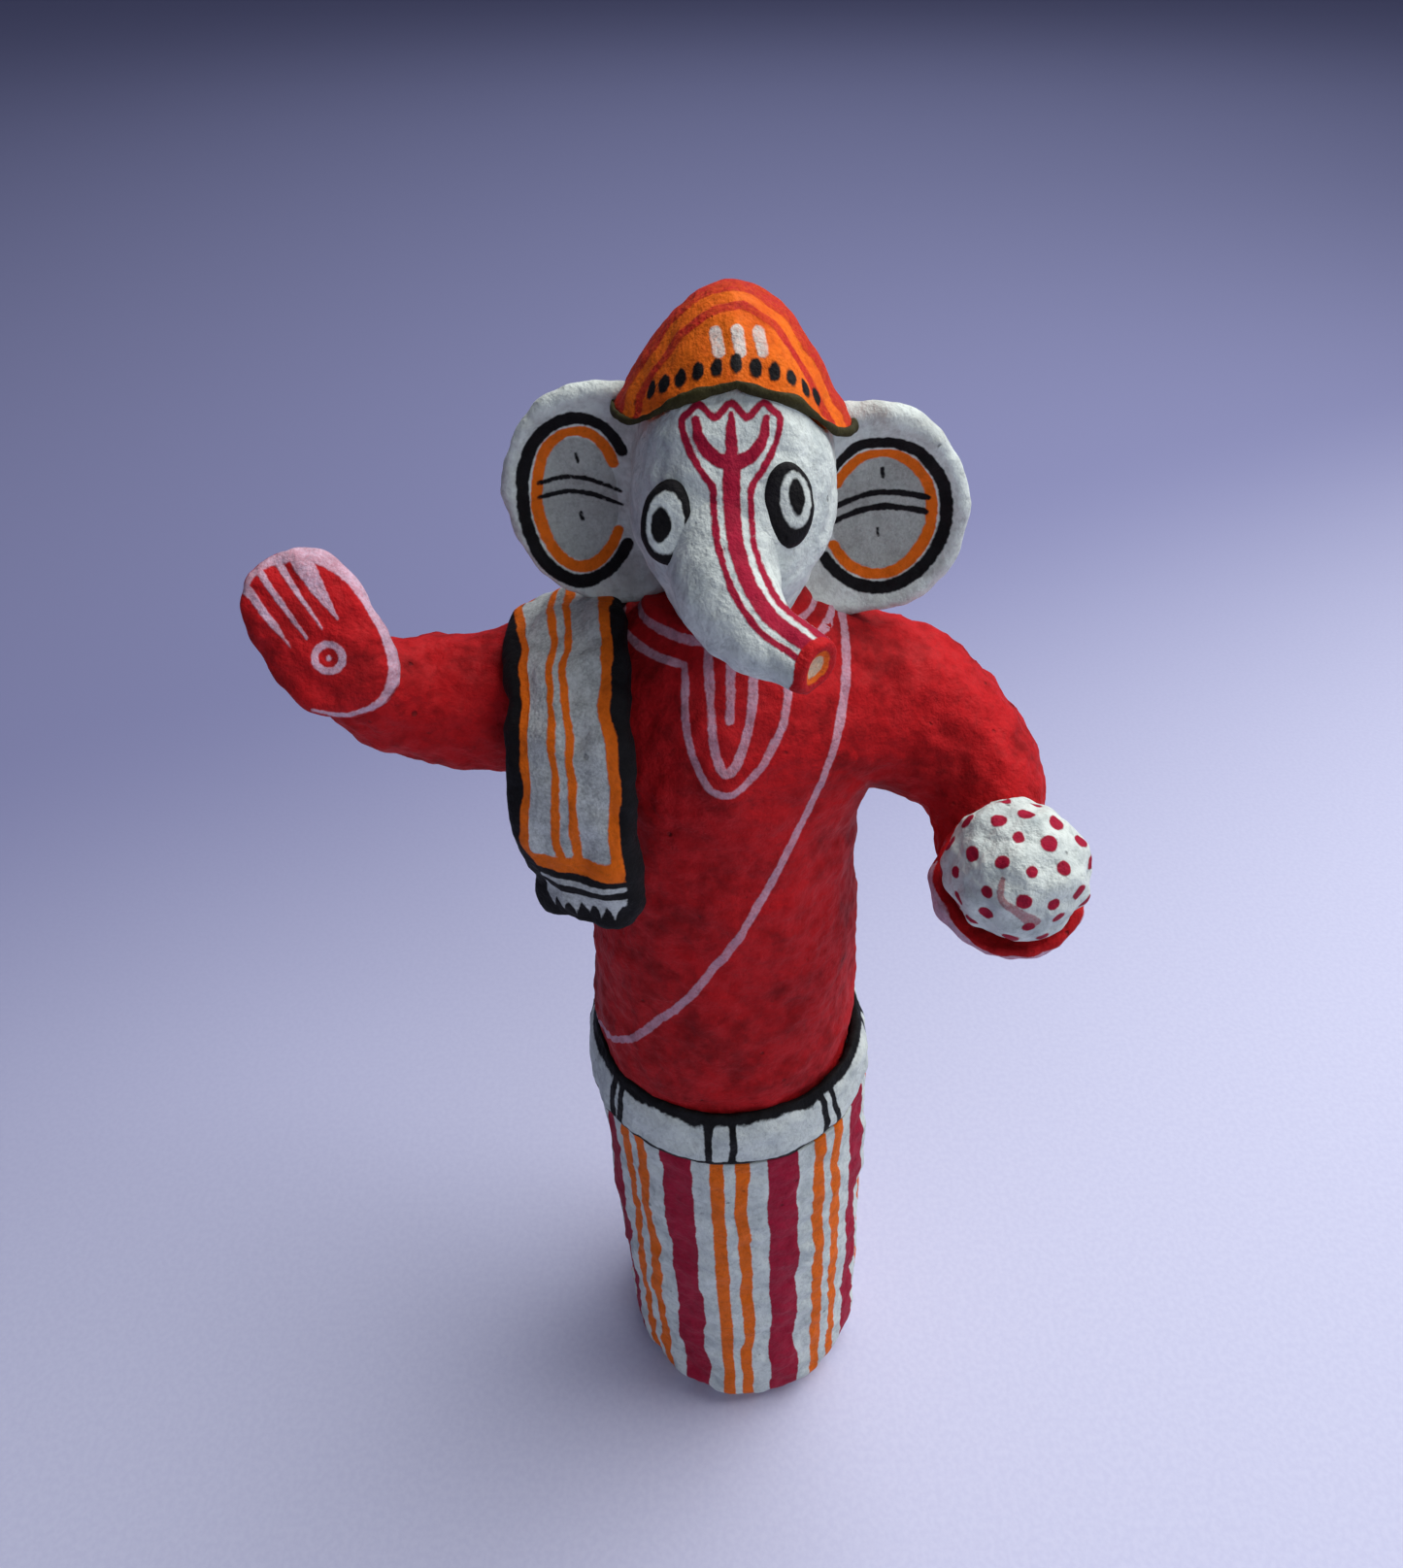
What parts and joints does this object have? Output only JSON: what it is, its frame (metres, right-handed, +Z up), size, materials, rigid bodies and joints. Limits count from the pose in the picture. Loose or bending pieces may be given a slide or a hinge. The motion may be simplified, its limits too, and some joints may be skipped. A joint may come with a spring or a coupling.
{
  "type": "ganesha idol",
  "caption": "Free-standing painted papier-mache elephant-headed devotional figure on a round column, one palm raised, a sweet in the other.",
  "frame": {"origin": "middle of the body's upper axis, dropped to the flat underside that the figure stands on", "axes": "+Z up along the column, -Y is the way the figure faces, +X is the figure's left"},
  "size_m": [0.1199, 0.0688, 0.253],
  "materials": {
    "striped_paint": "papier-mache with matte poster paint in crimson, orange and white stripes",
    "white_paint": "papier-mache with matte white poster paint",
    "red_paint": "papier-mache with matte red poster paint",
    "orange_paint": "papier-mache with matte orange poster paint",
    "dark_paint": "papier-mache with matte black poster paint",
    "scarf_paint": "papier-mache with matte white, orange and black poster paint",
    "card": "grey-brown rolled card",
    "newsprint": "crumpled newspaper",
    "plaster": "cast plaster",
    "bamboo": "plain bamboo stick",
    "wire": "soft binding wire"
  },
  "bodies": {
    "root": {"dhoti": "striped_paint", "belt": "white_paint", "kurta": "red_paint", "core_tube": "card", "base_weight": "plaster", "tube_cap": "card", "neck_dowel": "bamboo", "head": "white_paint", "head_core": "newsprint", "trunk": "white_paint", "trunk_wire": "wire", "crown": "orange_paint", "crown_trim": "dark_paint", "right_ear": "white_paint", "right_ear_card": "card", "right_eye": "dark_paint", "left_ear": "white_paint", "left_ear_card": "card", "left_eye": "dark_paint", "right_arm": "red_paint", "right_arm_wire": "wire", "right_hand": "red_paint", "left_arm": "red_paint", "left_arm_wire": "wire", "left_hand": "red_paint", "sweet": "white_paint", "scarf": "scarf_paint"}
  },
  "joints": []
}
